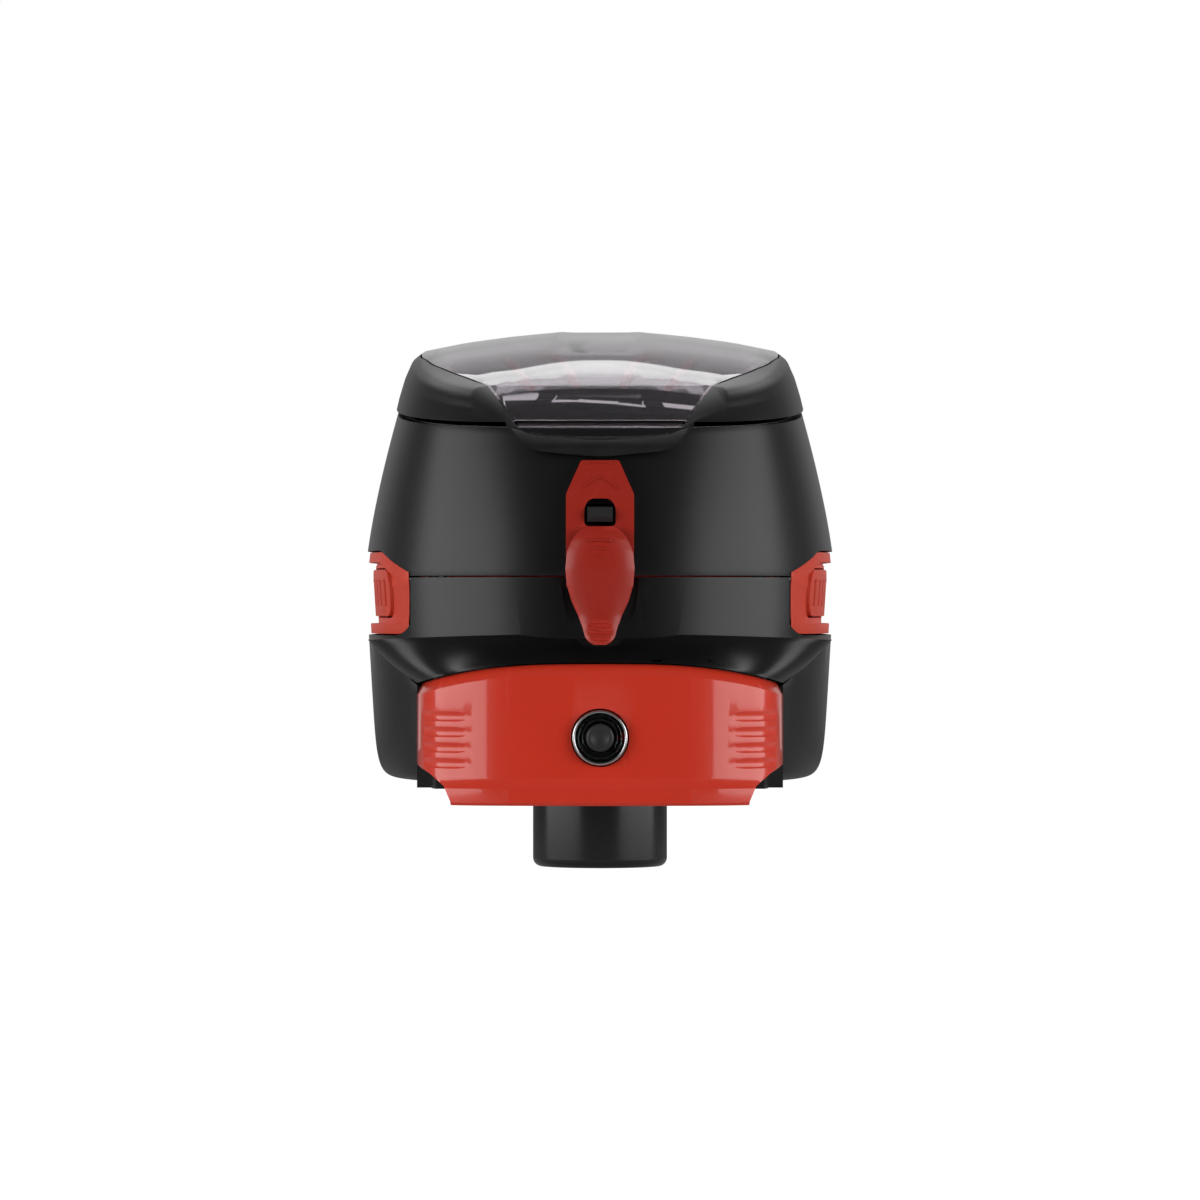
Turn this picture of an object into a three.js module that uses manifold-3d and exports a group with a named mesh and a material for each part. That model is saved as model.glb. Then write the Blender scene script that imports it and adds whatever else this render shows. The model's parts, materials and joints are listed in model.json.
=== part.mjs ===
// Paintball loader: a clamshell hopper with a flip-up lid, a rear draw latch, side squeeze pads,
// a slide-off tail cover with a power button, and a motor-driven rotor over the feed neck.
// Millimetres. +Z is up, +Y is the nose, the power button faces -Y. X = 0 is the plane of symmetry.
// The origin is the centre of the feed neck's open lower end.
import * as THREE from "three";
import { mergeVertices } from "three/addons/utils/BufferGeometryUtils.js";
import Module from "manifold-3d";

const wasm = await Module();
wasm.setup();

// Driving dimensions
const gap = 0.3;
const aroundSteps = 44;
const seamZ = 54.8;
const wall = 2.2;
const body = { halfWidth: 44.2, rear: -65.5, nose: 125, midY: 0, rearPower: 2.7, nosePower: 2.35 };
const rim = { halfWidth: 37.9, rear: -60.3, nose: 54, midY: -3, rearPower: 3.2, nosePower: 2.8 };
const rimZ = 86.5;
const rimTilt = 0.085;
const belly = { halfWidth: 27, rear: -46, nose: 62, midY: 0, rearPower: 3, nosePower: 2.2 };
const bellyZ = 17.2;
const sideTaper = 0.05;
const tail = { halfWidth: 33.2, rear: -75, nose: -10, midY: -48, rearPower: 3.4, nosePower: 8 };
const tailTopZ = 39.3;
const browZ = 44.3;
const browDrop = 0.8;
const tailFloorZ = 16.4;
const coverWall = 2.3;
const coverFrontY = -53;
const coverBottomZ = 13.8;
const coverFlare = 0.9;
const neckRadius = 12.7;
const boreRadius = 9.6;
const neckTopZ = 45.2;
const rotorY = 27;
const cupRadius = 37.5;
const cupFloorZ = 46.2;
const trayTopZ = 53.9;
const gearModule = 1;
const driveTeeth = 24;
const idlerTeeth = 20;
const pinionTeeth = 9;
const gearZ = 36.4;
const gearThickness = 4.6;
const gearPlateZ = 33.4;
const gearPlateThickness = 2.2;
const cellRadius = 7.1;
const cellLength = 50.2;
const cellZ = 26.7;
const cellsY = [-57.6, -43, -28.4];
const boardY = -68.6;
const buttonZ = 25.9;
const trayScrews = [[31, -14], [22, 74]];
const hinge = { y: 60.5, z: 94, pinRadius: 1.5, halfWidth: 13 };
const lever = { pinY: -67.7, pinZ: 60.1, strikerY: -67.8, strikerZ: 53.9, pinRadius: 0.9 };

const colours = {
  black: 0x1b1b1d, red: 0xb8301f, smoke: 0x3a2c28, neck: 0x3c3c3e, steel: 0xb9bcc0,
  brass: 0xc2a05a, green: 0x1f5a35, white: 0xd9d6cc, dark: 0x101012, copper: 0x2f4a6a,
};

// Materials and meshes
function finish(colour, roughness = 0.45, metalness = 0) {
  return new THREE.MeshStandardMaterial({ color: colour, roughness, metalness });
}

// A closed geometry as a manifold-3d solid
function solid(geometry) {
  const plain = geometry.clone();
  plain.deleteAttribute("normal");
  plain.deleteAttribute("uv");
  const merged = mergeVertices(plain, 1e-4);
  const triangles = [];
  const source = merged.index.array;
  for (let i = 0; i < source.length; i += 3) {
    const [a, b, c] = [source[i], source[i + 1], source[i + 2]];
    if (a !== b && b !== c && a !== c) triangles.push(a, b, c);
  }
  const mesh = new wasm.Mesh({
    numProp: 3,
    vertProperties: new Float32Array(merged.attributes.position.array),
    triVerts: new Uint32Array(triangles),
  });
  return new wasm.Manifold(mesh);
}

function geometryOf(shape) {
  const mesh = shape.getMesh();
  const geometry = new THREE.BufferGeometry();
  geometry.setAttribute("position", new THREE.BufferAttribute(new Float32Array(mesh.vertProperties), 3));
  geometry.setIndex(new THREE.BufferAttribute(new Uint32Array(mesh.triVerts), 1));
  geometry.computeVertexNormals();
  return geometry;
}

const loader = new THREE.Group();

function add(name, shape, material, parent = loader) {
  const geometry = shape.isBufferGeometry ? shape : geometryOf(shape);
  const mesh = new THREE.Mesh(geometry, material);
  mesh.name = name;
  parent.add(mesh);
  return mesh;
}

// Basic forms
const alongX = new THREE.Matrix4().set(0, 0, 1, 0, 1, 0, 0, 0, 0, 1, 0, 0, 0, 0, 0, 1);
const alongMinusY = new THREE.Matrix4().set(1, 0, 0, 0, 0, 0, -1, 0, 0, 1, 0, 0, 0, 0, 0, 1);

function extruded(points, depth, curveSegments = 8) {
  const outline = (list) => new THREE.Shape(list.map(([x, y]) => new THREE.Vector2(x, y)));
  const shape = Array.isArray(points) ? outline(points) : points;
  return new THREE.ExtrudeGeometry(shape, { depth, bevelEnabled: false, curveSegments });
}

// Prism over an XY outline
function prismZ(points, z0, z1) {
  return solid(extruded(points, z1 - z0).translate(0, 0, z0));
}

// Prism over a YZ outline
function prismX(points, x0, x1) {
  return solid(extruded(points, x1 - x0).applyMatrix4(alongX).translate(x0, 0, 0));
}

// Prism over an XZ outline
function prismY(points, y0, y1) {
  return solid(extruded(points, y1 - y0).applyMatrix4(alongMinusY).translate(0, y1, 0));
}

function box(x0, x1, y0, y1, z0, z1) {
  const geometry = new THREE.BoxGeometry(x1 - x0, y1 - y0, z1 - z0);
  return solid(geometry.translate((x0 + x1) / 2, (y0 + y1) / 2, (z0 + z1) / 2));
}

function rodZ(radius, x, y, z0, z1, sides = 24) {
  const geometry = new THREE.CylinderGeometry(radius, radius, z1 - z0, sides).rotateX(Math.PI / 2);
  return solid(geometry.translate(x, y, (z0 + z1) / 2));
}

function rodX(radius, x0, x1, y, z, sides = 16) {
  const geometry = new THREE.CylinderGeometry(radius, radius, x1 - x0, sides).rotateZ(Math.PI / 2);
  return solid(geometry.translate((x0 + x1) / 2, y, z));
}

function rodY(radius, x, y0, y1, z, sides = 24) {
  const geometry = new THREE.CylinderGeometry(radius, radius, y1 - y0, sides);
  return solid(geometry.translate(x, (y0 + y1) / 2, z));
}

// A turned form about a vertical axis, from [radius, z] pairs
function turned(profile, x, y, sides = 32) {
  const points = profile.map(([r, z]) => new THREE.Vector2(r, z));
  const geometry = new THREE.LatheGeometry(points, sides).rotateX(Math.PI / 2);
  return solid(geometry.translate(x, y, 0));
}

// A closed skin through level rings, each counter-clockwise from above, lowest first
function loft(rings) {
  const count = rings[0].length;
  const positions = rings.flat().flatMap((p) => [p.x, p.y, p.z]);
  const index = [];
  for (let row = 0; row < rings.length - 1; row++) {
    for (let i = 0; i < count; i++) {
      const a = row * count + i;
      const b = row * count + (i + 1) % count;
      index.push(a, b, b + count, a, b + count, a + count);
    }
  }
  const ends = [rings[0], rings[rings.length - 1]];
  ends.forEach((ring, end) => {
    const middle = ring.reduce((sum, p) => sum.add(p), new THREE.Vector3()).divideScalar(count);
    const hub = positions.length / 3;
    positions.push(middle.x, middle.y, middle.z);
    const first = end * (rings.length - 1) * count;
    for (let i = 0; i < count; i++) {
      const a = first + i;
      const b = first + (i + 1) % count;
      index.push(hub, end ? a : b, end ? b : a);
    }
  });
  const geometry = new THREE.BufferGeometry();
  geometry.setAttribute("position", new THREE.Float32BufferAttribute(positions, 3));
  geometry.setIndex(index);
  return solid(geometry);
}

// Plan outlines: two half superellipses that meet at the widest section
function planPoint(plan, angle, inset = 0) {
  const [c, s] = [Math.cos(angle), Math.sin(angle)];
  const power = 2 / (s < 0 ? plan.rearPower : plan.nosePower);
  const reach = s < 0 ? plan.midY - plan.rear : plan.nose - plan.midY;
  const x = Math.sign(c) * (plan.halfWidth - inset) * Math.abs(c) ** power;
  const y = plan.midY + Math.sign(s) * (reach - inset) * Math.abs(s) ** power;
  return new THREE.Vector2(x, y);
}

function planRing(plan, inset, height) {
  const ring = [];
  for (let i = 0; i < aroundSteps; i++) {
    const p = planPoint(plan, (i / aroundSteps) * 2 * Math.PI, inset);
    ring.push(new THREE.Vector3(p.x, p.y, height(p)));
  }
  return ring;
}

const rimHeight = (p) => rimZ + rimTilt * p.y;

// Upper shell skin: t runs from the seam (0) to the lid rim (1)
function upperRing(t, inset) {
  const ring = [];
  for (let i = 0; i < aroundSteps; i++) {
    const angle = (i / aroundSteps) * 2 * Math.PI;
    const low = planPoint(body, angle, inset);
    const high = planPoint(rim, angle, inset);
    const nose = Math.max(Math.sin(angle), 0) ** 1.5;
    const out = (1 - nose) * (1 - t ** 1.4) + nose * Math.cos((t * Math.PI) / 2);
    const rise = (1 - nose) * t + nose * Math.sin((t * Math.PI) / 2);
    const top = rimHeight(high) - nose * inset * 0.9;
    ring.push(new THREE.Vector3(
      high.x + (low.x - high.x) * out,
      high.y + (low.y - high.y) * out,
      seamZ + (top - seamZ) * rise,
    ));
  }
  return ring;
}

// Lower shell skin: t runs from the belly (1) to the seam (0)
function lowerRing(t, inset) {
  const ring = [];
  const turn = (t * Math.PI) / 2;
  for (let i = 0; i < aroundSteps; i++) {
    const angle = (i / aroundSteps) * 2 * Math.PI;
    const high = planPoint(body, angle, inset);
    const low = planPoint(belly, angle, inset);
    const nose = Math.max(Math.sin(angle), 0) ** 1.5;
    const power = 2 / (12 - 10 * nose);
    const out = Math.cos(turn) ** power;
    const fall = Math.sin(turn) ** power;
    const squeeze = 1 - sideTaper * fall * (1 - nose);
    ring.push(new THREE.Vector3(
      low.x + (high.x * squeeze - low.x) * out,
      low.y + (high.y * squeeze - low.y) * out,
      seamZ - (seamZ - bellyZ - inset) * fall,
    ));
  }
  return ring;
}

const lifted = (ring, dz) => ring.map((p) => new THREE.Vector3(p.x, p.y, p.z + dz));
const upperSteps = [0, 0.25, 0.5, 0.75, 1];
const lowerSteps = [1, 0.85, 0.65, 0.45, 0.25, 0.1, 0];

function upperSkin(inset, below, above) {
  const rings = upperSteps.map((t) => upperRing(t, inset));
  if (below) rings.unshift(lifted(rings[0], -below));
  if (above) rings.push(lifted(rings[rings.length - 1], above));
  return loft(rings);
}

function lowerSkin(inset, above) {
  const rings = lowerSteps.map((t) => lowerRing(t, inset));
  if (above) rings.push(lifted(rings[rings.length - 1], above));
  return loft(rings);
}

// Tail block skin: straight walls with a sloped shoulder that rises to the arched brow line
function tailSkin(inset, bottomZ) {
  const brow = { ...tail, halfWidth: tail.halfWidth + 9, rear: body.rear + 2 };
  const arch = (p) => browZ - inset - browDrop * (p.x / 36) ** 2;
  const edge = (p) => tailTopZ - inset - 4.6 * Math.abs(p.x / 35) ** 3;
  const mid = planRing(tail, inset, edge);
  const high = planRing(brow, inset, arch);
  const sag = { x: 0, y: 1, z: -0.7 };
  const cove = mid.map((p, i) => new THREE.Vector3().lerpVectors(p, high[i], 0.5).add(sag));
  return loft([planRing(tail, inset, () => bottomZ), mid, cove, high]);
}

// The tail's plan as a straight post
function tailPost(inset, z0, z1) {
  return loft([planRing(tail, inset, () => z0), planRing(tail, inset, () => z1)]);
}

// Shells
const gripOutline = [[-45, 44.2], [-49.5, 46.5], [-51.5, 54.6], [-36, 59.2], [42, 59.2],
  [49, 51.6], [42, 44.2]];
const gripMiddle = { y: -19, z: 51.6 };
const grown = (points, by) => points.map(([y, z]) => {
  return [y + Math.sign(y - gripMiddle.y) * by, z + Math.sign(z - gripMiddle.z) * by];
});
const padOutline = [[-36, 47.6], [-33.6, 47], [-15.4, 47], [-13, 47.6], [-11.6, 51.6],
  [-13, 55.6], [-15.4, 56.2], [-33.6, 56.2], [-36, 55.6], [-37.4, 51.6]];

function upperShell() {
  const inner = upperSkin(wall, 2, 8);
  let shell = upperSkin(0).subtract(inner);
  const ears = prismX([[53, 88.5], [62, 87.5], [63, 92.5], [hinge.y, 96.6], [57.6, 93.5]], -12.7, 12.7);
  shell = shell.add(ears.subtract(inner));
  shell = shell.subtract(box(-9.3, 9.3, 51, 66, 90.4, 99));
  const pinReach = hinge.halfWidth + 1;
  shell = shell.subtract(rodX(hinge.pinRadius + 0.06, -pinReach, pinReach, hinge.y, hinge.z));
  for (const side of [-1, 1]) shell = shell.subtract(gripHole(side));
  return shell.subtract(box(-2.6, 2.6, -70, -55, 64.1, 67.7));
}

function gripHole(side) {
  const [near, far] = side > 0 ? [34.5, 50] : [-50, -34.5];
  return prismX(grown(gripOutline, gap), near, far);
}

function lowerShell() {
  const insideTail = tailSkin(coverWall + gap + 2, tailFloorZ + 2);
  const inside = lowerSkin(wall, 2).add(insideTail);
  const shelfPost = tailPost(coverWall + gap, tailFloorZ, 42).intersect(tailSkin(0, 5));
  const shelf = shelfPost.subtract(box(-60, 60, -90, -60.5, 10, 33.4));
  const shoulder = tailSkin(0, tailFloorZ).subtract(coverSpace().intersect(tailTop(0)));
  const coverRoom = tailSkin(-gap, 5).intersect(coverSpace()).intersect(tailTop(0));
  let shell = lowerSkin(0).subtract(coverRoom).add(shelf).add(shoulder);
  shell = shell.subtract(inside);
  shell = shell.subtract(rodZ(neckRadius + gap, 0, 0, 0, 40, 32));
  shell = shell.subtract(box(-29, 29, -90, -50, tailFloorZ + 2.5, 33));
  shell = shell.subtract(latchPocket());
  shell = shell.subtract(box(-100, 100, -100, 150, seamZ - gap, 90));
  for (const side of [-1, 1]) {
    shell = shell.subtract(gripHole(side));
    for (const [x, y] of trayScrews) {
      const boss = rodZ(3.4, side * x, y, 10, 50.9, 12).intersect(lowerSkin(0));
      shell = shell.add(boss.subtract(rodZ(1.5, side * x, y, 40, 60, 12)));
    }
  }
  return shell;
}

function latchPocket() {
  const outline = [[-7.4, seamZ + 2], [-6.6, 50], [-4.9, 44.8], [-3.4, 42], [3.4, 42], [4.9, 44.8],
    [6.6, 50], [7.4, seamZ + 2]];
  return prismY(outline, -80, -64.7);
}

// The tail cover's volume, open at the front
function coverSpace(inset = 0) {
  return box(-60, 60, -90, coverFrontY - inset, 5, tailTopZ + 6);
}

function tailCover() {
  const lip = planRing(tail, -coverFlare, () => coverBottomZ);
  const flare = loft([lip, planRing(tail, 0, () => coverBottomZ + 3.6)]);
  const outer = tailSkin(0, coverBottomZ).add(flare).intersect(coverSpace(gap)).intersect(tailTop(-gap));
  let cover = outer.subtract(tailPost(coverWall, coverBottomZ - 2, 60));
  cover = cover.subtract(rodY(5.2, 0, -90, -60, buttonZ, 32));
  return cover;
}

// Everything below the cover's arched top edge
function tailTop(lift) {
  const outline = [[-40, 0], [40, 0]];
  for (let x = 40; x >= -40; x -= 8) outline.push([x, tailTopZ + lift - 4.6 * Math.abs(x / 35) ** 3]);
  return prismY(outline, -95, -40);
}

// Lid
const lidPlan = { halfWidth: 38.1, rear: -61.8, nose: 55.4, midY: -3, rearPower: 3.2, nosePower: 2.8 };
const lidRows = [[0, 0], [2.2, 0.5], [5.6, 1.5], [8.3, 2.7], [9.8, 4.6], [11.4, 12.5],
  [12.6, 21.5], [13.4, 30]];
const lidBase = 87.5;
const domeFall = 0.0015;

function lidSkin(inset, drop, below = 0) {
  const rings = lidRows.map(([rise, shrink]) => {
    const height = (p) => lidBase + rimTilt * p.y + rise - drop * Math.min(rise / 8, 1)
      - domeFall * p.y ** 2 * Math.min(rise / 8, 1);
    return planRing(lidPlan, inset + shrink, height);
  });
  if (below) rings.unshift(lifted(rings[0], -below));
  return loft(rings);
}

// Everything in front of the steep rear facet, moved in by depth
function facetSide(depth) {
  const y = depth * 1.41;
  return prismX([[-63.5 + y, 77.6], [-63.5 + y, 60], [80, 60], [80, 128.6], [-11.3 + y, 128.6]], -60, 60);
}

const lensOutline = [[0, 43], [14, 42.6], [24, 40], [30, 34], [33, 22], [34.2, 4], [33.6, -14], [31.2, -29],
  [27.4, -40], [22.8, -48.4], [19, -53.4], [16.6, -57], [14.4, -60.1], [12, -61]];

function lensPrism(shrink) {
  const half = lensOutline.map(([x, y]) => [Math.max(x - shrink, 0), y - Math.sign(y) * shrink]);
  const mirrored = half.slice(1).reverse().map(([x, y]) => [-x, y]);
  return prismZ([...half, [0, -62.1 + shrink], ...mirrored].reverse(), 70, 130);
}

function lidFrame() {
  const lip = [[-17.2, 85.2], [-17.2, 82.4], [-15.4, 79.2], [-12, 77.2], [0, 76.1], [12, 77.2],
    [15.4, 79.2], [17.2, 82.4], [17.2, 85.2]];
  const spout = prismY(lip, -66, -56);
  const skin = lidSkin(0, 0).add(spout).intersect(facetSide(0));
  const hollow = lidSkin(2.4, 2.2, 3).intersect(facetSide(2.2));
  let frame = skin.subtract(hollow).subtract(lensPrism(0));
  const knuckle = prismX([[54, 91.8], [hinge.y, hinge.z - 2.9], [hinge.y + 2.6, hinge.z],
    [hinge.y, hinge.z + 2.9], [52, 97.6], [51, 93.6]], -9, 9);
  frame = frame.subtract(upperSkin(-gap - 0.1));
  frame = frame.add(knuckle.subtract(box(-4.2, 4.2, 56, 70, 80, 100)));
  frame = frame.subtract(rodX(hinge.pinRadius + 0.06, -20, 20, hinge.y, hinge.z));
  return frame;
}

function lidWindow() {
  const skin = lidSkin(0, 0).intersect(facetSide(0)).subtract(lidSkin(2.1, 2, 3).intersect(facetSide(2)));
  const pane = skin.intersect(lensPrism(gap));
  return pane.subtract(box(-60, 60, -70, 60, 60, 80));
}

// Draw latch
function latchStrap() {
  const outline = [[-6.1, 63.4], [-6.1, 69.4], [-3.4, 75.5], [3.4, 75.5], [6.1, 69.4], [6.1, 63.4],
    [6, 52.6], [4.1, 52.6], [4.1, 61.8], [-4.1, 61.8], [-4.1, 52.6], [-6, 52.6]];
  const sheet = prismY(outline, -80, -50);
  const profile = [[-66.6, 52], [-69, 52], [-69, 60], [-66.6, 66], [-63.6, 77], [-61.8, 77], [-64.7, 65.4],
    [-66.4, 62]];
  const window = box(-2.8, 2.8, -80, -50, 63.6, 68.6);
  const strap = sheet.intersect(prismX(profile, -7, 7)).subtract(window);
  return strap.subtract(rodX(lever.pinRadius + 0.06, -7, 7, lever.pinY, lever.pinZ));
}

function latchLever() {
  const outline = [[-2.9, 42.4], [2.9, 42.4], [3.7, 47.8], [5.9, 52.7], [6.2, 56], [5.6, 60.4], [3.2, 63.4],
    [-3.2, 63.4], [-5.6, 60.4], [-6.2, 56], [-5.9, 52.7], [-3.7, 47.8]];
  const profile = [[-73.1, 41.6], [-71.5, 50], [-71.3, 60], [-70.5, 64], [-69.4, 64], [-69.4, 48],
    [-70.8, 42.2], [-72.5, 41.2]];
  let part = prismY(outline, -80, -60).intersect(prismX(profile, -8, 8));
  const hookProfile = [[-69.6, 52], [-69.6, 61.5], [-67.2, 61.5], [-66.4, 60.4], [-66.4, 56.4], [-67.2, 55.3],
    [-69, 55], [-69, 52]];
  for (const side of [-1, 1]) {
    const [near, far] = side > 0 ? [2.1, 3.7] : [-3.7, -2.1];
    part = part.add(prismX(hookProfile, near, far));
  }
  return part.subtract(rodX(lever.pinRadius + 0.06, -7, 7, lever.pinY, lever.pinZ));
}

function latchBracket() {
  const foot = box(-3.7, 3.7, -66.1, -65, 46, 53.2);
  const lug = prismX([[-65, 46], [-65, 53.2], [-65.9, 54.2], [-66.2, 55.4], [-68, 55.4],
    [-69.1, 54.4], [-69.1, 53.2], [-68, 52.2], [-66.6, 50], [-66.5, 46]], -1.8, 1.8);
  const lugHole = rodX(lever.pinRadius + 0.06, -7, 7, lever.strikerY, lever.strikerZ);
  return foot.add(lug).subtract(lugHole);
}

function latchCatch() {
  const hook = [[-62.2, 64.4], [-67.4, 64.4], [-67.9, 65.4], [-66.8, 67], [-62.2, 67.4]];
  const plate = box(-3.4, 3.4, -60.4, -59.2, 62.6, 69);
  const stem = box(-2.3, 2.3, -62.6, -60, 64.4, 67.4);
  return prismX(hook, -2.3, 2.3).add(plate).add(stem);
}

// Side grips and squeeze pads
function skinBand(from, to) {
  const outer = upperSkin(from, 1).add(lowerSkin(from, 1));
  return outer.subtract(upperSkin(to, 2, 8).add(lowerSkin(to, 2)));
}

function padPrism(side, by) {
  const points = padOutline.map(([y, z]) => {
    return [y + Math.sign(y + 24.5) * by, z + Math.sign(z - gripMiddle.z) * by];
  });
  return side > 0 ? prismX(points, 30, 50) : prismX(points, -50, -30);
}

function sideGrip(side) {
  const [near, far] = side > 0 ? [34.8, 50] : [-50, -34.8];
  const region = prismX(gripOutline, near, far);
  const scoop = prismX(grown(gripOutline, -1.8), near, far);
  const band = skinBand(0.2, 3.6).intersect(region);
  const hollow = skinBand(-2, 2).intersect(scoop);
  return band.subtract(hollow).subtract(padPrism(side, gap));
}

function sideButton(side) {
  return skinBand(1.5, 3.8).intersect(padPrism(side, 0));
}

// Hopper floor and feed
function raceway() {
  const flange = planRing(body, 3.1, () => trayTopZ - 2);
  const sheet = loft([flange, lifted(flange, 2)]);
  const cup = rodZ(cupRadius + 2, 0, rotorY, cupFloorZ - 2, trayTopZ, 36);
  let tray = sheet.add(cup).subtract(rodZ(cupRadius, 0, rotorY, cupFloorZ, trayTopZ + 1, 36));
  tray = tray.subtract(rodZ(boreRadius, 0, 0, 30, 60, 32));
  tray = tray.subtract(rodZ(5.3, 0, rotorY, 30, 60, 24));
  for (const side of [-1, 1]) {
    const clear = (near, front) => {
      return side > 0 ? box(near, 60, -54, front, 40, 60) : box(-60, -near, -54, front, 40, 60);
    };
    tray = tray.subtract(clear(34.3, 3)).subtract(clear(38, 52));
    for (const [x, y] of trayScrews) tray = tray.subtract(rodZ(1.7, side * x, y, 40, 60, 12));
  }
  return tray;
}

function feedNeck() {
  const profile = [[boreRadius, 0], [neckRadius - 1.6, 0], [neckRadius - 0.5, 0.5], [neckRadius, 1.6],
    [neckRadius, 19.8], [neckRadius + 2.6, 19.8], [neckRadius + 2.6, 21.8], [neckRadius - 1, 21.8],
    [neckRadius - 1, cupFloorZ - 2 - gap], [boreRadius, cupFloorZ - 2 - gap], [boreRadius, 0]];
  let neck = turned(profile, 0, 0, 28);
  neck = neck.subtract(rodX(1.8, -20, 20, -3, 29, 10));
  return neck;
}

function gear(teeth, phase, thickness, bore) {
  const pitch = (teeth * gearModule) / 2;
  const half = (Math.PI * gearModule) / 4 - 0.17;
  const levels = [[pitch - 1.15, half + 0.42], [pitch, half], [pitch + 0.8, half - 0.36]];
  const points = [];
  for (let tooth = 0; tooth < teeth; tooth++) {
    const middle = phase + (tooth / teeth) * 2 * Math.PI;
    const flank = (r, w, side) => [r * Math.cos(middle + side * w / r), r * Math.sin(middle + side * w / r)];
    levels.forEach(([r, w]) => points.push(flank(r, w, -1)));
    [...levels].reverse().forEach(([r, w]) => points.push(flank(r, w, 1)));
  }
  return prismZ(points, 0, thickness).subtract(rodZ(bore, 0, 0, -1, thickness + 1, 20));
}

const idlerY = rotorY + ((driveTeeth + idlerTeeth) * gearModule) / 2;
const motorY = idlerY + ((idlerTeeth + pinionTeeth) * gearModule) / 2;

function rotor() {
  const armCount = 5;
  const cone = [[2.6, 47], [15.5, 47], [16.5, 50], [16, 58], [9, 68], [4, 70.5], [2.6, 70.5], [2.6, 47]];
  let part = turned(cone, 0, rotorY, 28);
  for (let arm = 0; arm < armCount; arm++) {
    const points = [];
    const back = [];
    for (let step = 0; step <= 4; step++) {
      const r = 14 + (step / 4) * 21;
      const swing = (arm / armCount) * 2 * Math.PI + 0.55 * (step / 4) ** 1.5 + 0.35;
      const half = (2.1 - step * 0.2) / r;
      points.push([r * Math.cos(swing - half), rotorY + r * Math.sin(swing - half)]);
      back.push([r * Math.cos(swing + half), rotorY + r * Math.sin(swing + half)]);
    }
    part = part.add(prismZ([...points, ...back.reverse()], 50.5, 57.5));
  }
  return part;
}

function gearPlate() {
  const outline = [[-15, 16], [15, 16], [15, 60], [13.5, motorY + 12], [-13.5, motorY + 12], [-15, 60]];
  let plate = prismZ(outline, gearPlateZ - gearPlateThickness, gearPlateZ);
  plate = plate.subtract(rodZ(neckRadius + 0.6, 0, 0, 20, 60, 32));
  plate = plate.subtract(rodZ(2.62, 0, rotorY, 20, 60, 20));
  return plate.subtract(rodZ(3.2, 0, motorY, 20, 60, 20));
}

// Springs are plain sleeves here: an outer coil diameter with an open middle
function sleeve(outer, inner, length) {
  const tube = new THREE.CylinderGeometry(outer, outer, length, 16);
  const core = new THREE.CylinderGeometry(inner, inner, length + 2, 16);
  return solid(tube.rotateZ(Math.PI / 2)).subtract(solid(core.rotateZ(Math.PI / 2)));
}

function panScrew(x, y, z) {
  const head = rodZ(2.6, x, y, z, z + 1.6, 16);
  const shank = rodZ(1.3, x, y, z - 7, z + 0.2, 12);
  const slot = box(x - 2, x + 2, y - 0.35, y + 0.35, z + 1, z + 2);
  return head.add(shank).subtract(slot);
}

function buildCasing() {
  const black = finish(colours.black);
  const red = finish(colours.red, 0.3);
  add("upper_shell", upperShell(), black);
  add("lower_shell", lowerShell(), black);
  add("tail_cover", tailCover(), red);
  add("lid_frame", lidFrame(), finish(colours.black, 0.4));
  add("lid_window", lidWindow(), finish(colours.smoke, 0.08));
  add("lid_hinge_pin", rodX(hinge.pinRadius, -12.4, 12.4, hinge.y, hinge.z), finish(colours.steel, 0.3, 1));
  add("lid_spring", sleeve(2.5, 1.8, 7.4).translate(0, hinge.y, hinge.z), finish(colours.steel, 0.3, 1));
  for (const side of [-1, 1]) {
    const name = side > 0 ? "right" : "left";
    add(`side_grip_${name}`, sideGrip(side), finish(0xd9432c, 0.4));
    add(`side_button_${name}`, sideButton(side), finish(0xc93a26, 0.45));
    const spring = sleeve(2.2, 1.6, 1.6).translate(side * 36.1, -24.5, 51.6);
    add(`side_spring_${name}`, spring, finish(colours.steel, 0.3, 1));
  }
}

function buildLatch() {
  const red = finish(0xa2301f, 0.35);
  const steel = finish(colours.steel, 0.3, 1);
  add("latch_strap", latchStrap(), red);
  add("latch_lever", latchLever(), red);
  add("latch_bracket", latchBracket(), finish(colours.dark, 0.5));
  add("latch_catch", latchCatch(), finish(colours.dark, 0.5));
  add("lever_pin", rodX(lever.pinRadius, -5.8, 5.8, lever.pinY, lever.pinZ, 16), steel);
  add("striker_pin", rodX(lever.pinRadius, -3.9, 3.9, lever.strikerY, lever.strikerZ, 16), steel);
}

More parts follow.
